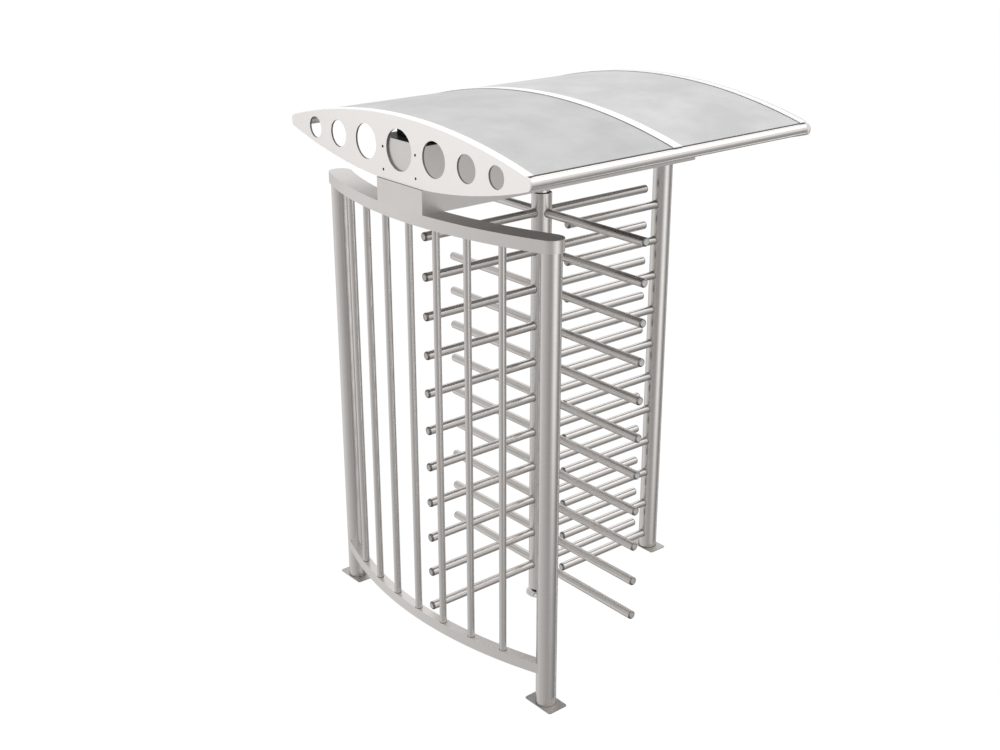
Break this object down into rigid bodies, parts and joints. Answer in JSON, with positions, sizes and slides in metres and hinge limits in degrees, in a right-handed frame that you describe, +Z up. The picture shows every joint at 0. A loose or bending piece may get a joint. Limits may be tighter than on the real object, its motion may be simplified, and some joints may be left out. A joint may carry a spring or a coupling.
{
  "type": "full-height turnstile",
  "caption": "Full-height turnstile: a four-winged rotor turns between a bowed guide panel and a comb of bars, under a head beam and a curved canopy.",
  "frame": {"origin": "where the rotor's axis meets the floor, at the middle of the floor bearing's underside", "axes": "+Z up along the rotor's axis; X along the head beam, from the guide panel at -X to the comb post at +X; Y is the way people walk"},
  "size_m": [1.5265, 1.558, 2.364],
  "materials": {
    "brushed_stainless_tube": "satin brushed",
    "tube_plugs": "satin",
    "polished_steel": "polished",
    "bearing_steel": "dark machined",
    "brushed_stainless_sheet": "satin brushed sheet",
    "white_powder_coat": "white powder coat",
    "white_cover_strip": "white powder coat",
    "frosted_polycarbonate": "frosted, translucent"
  },
  "bodies": {
    "frame": {"foot_plate_front": "brushed_stainless_tube", "foot_plate_rear": "brushed_stainless_tube", "foot_plate_comb": "brushed_stainless_tube", "guide_post_front": "brushed_stainless_tube", "guide_post_rear": "brushed_stainless_tube", "comb_post": "brushed_stainless_tube", "guide_bottom_rail": "brushed_stainless_tube", "guide_bars": "brushed_stainless_tube", "guide_top_rail": "brushed_stainless_tube", "guide_rail_base": "brushed_stainless_tube", "comb_bars": "brushed_stainless_tube", "edge_tube_front": "brushed_stainless_tube", "edge_tube_rear": "brushed_stainless_tube", "comb_plugs": "tube_plugs", "floor_bearing": "polished_steel", "top_bearing": "bearing_steel", "head_housing": "brushed_stainless_sheet", "head_cover_left": "brushed_stainless_sheet", "head_cover_right": "brushed_stainless_sheet", "roof_carrier": "brushed_stainless_sheet", "carrier_cover_left": "brushed_stainless_sheet", "carrier_cover_right": "brushed_stainless_sheet", "rib_stand": "brushed_stainless_sheet", "middle_rib": "brushed_stainless_sheet", "end_plate_left": "white_powder_coat", "end_plate_right": "white_powder_coat", "cover_strip_left": "white_cover_strip", "cover_strip_middle": "white_cover_strip", "cover_strip_right": "white_cover_strip", "roof_panel_left": "frosted_polycarbonate", "roof_panel_right": "frosted_polycarbonate"},
    "rotor": {"rotor_column": "brushed_stainless_tube", "column_top_cap": "bearing_steel", "column_foot_cap": "bearing_steel", "rotor_shaft": "polished_steel", "rotor_pivot": "polished_steel", "wing_left": "brushed_stainless_tube", "wing_front": "brushed_stainless_tube", "wing_right": "brushed_stainless_tube", "wing_rear": "brushed_stainless_tube", "plugs_left": "tube_plugs", "plugs_front": "tube_plugs", "plugs_right": "tube_plugs", "plugs_rear": "tube_plugs"}
  },
  "joints": [
    {"name": "rotor_turn", "type": "hinge", "parent": "frame", "child": "rotor", "pos_m": [0, 0, 0], "axis": [0, 0, 1], "continuous": true}
  ]
}
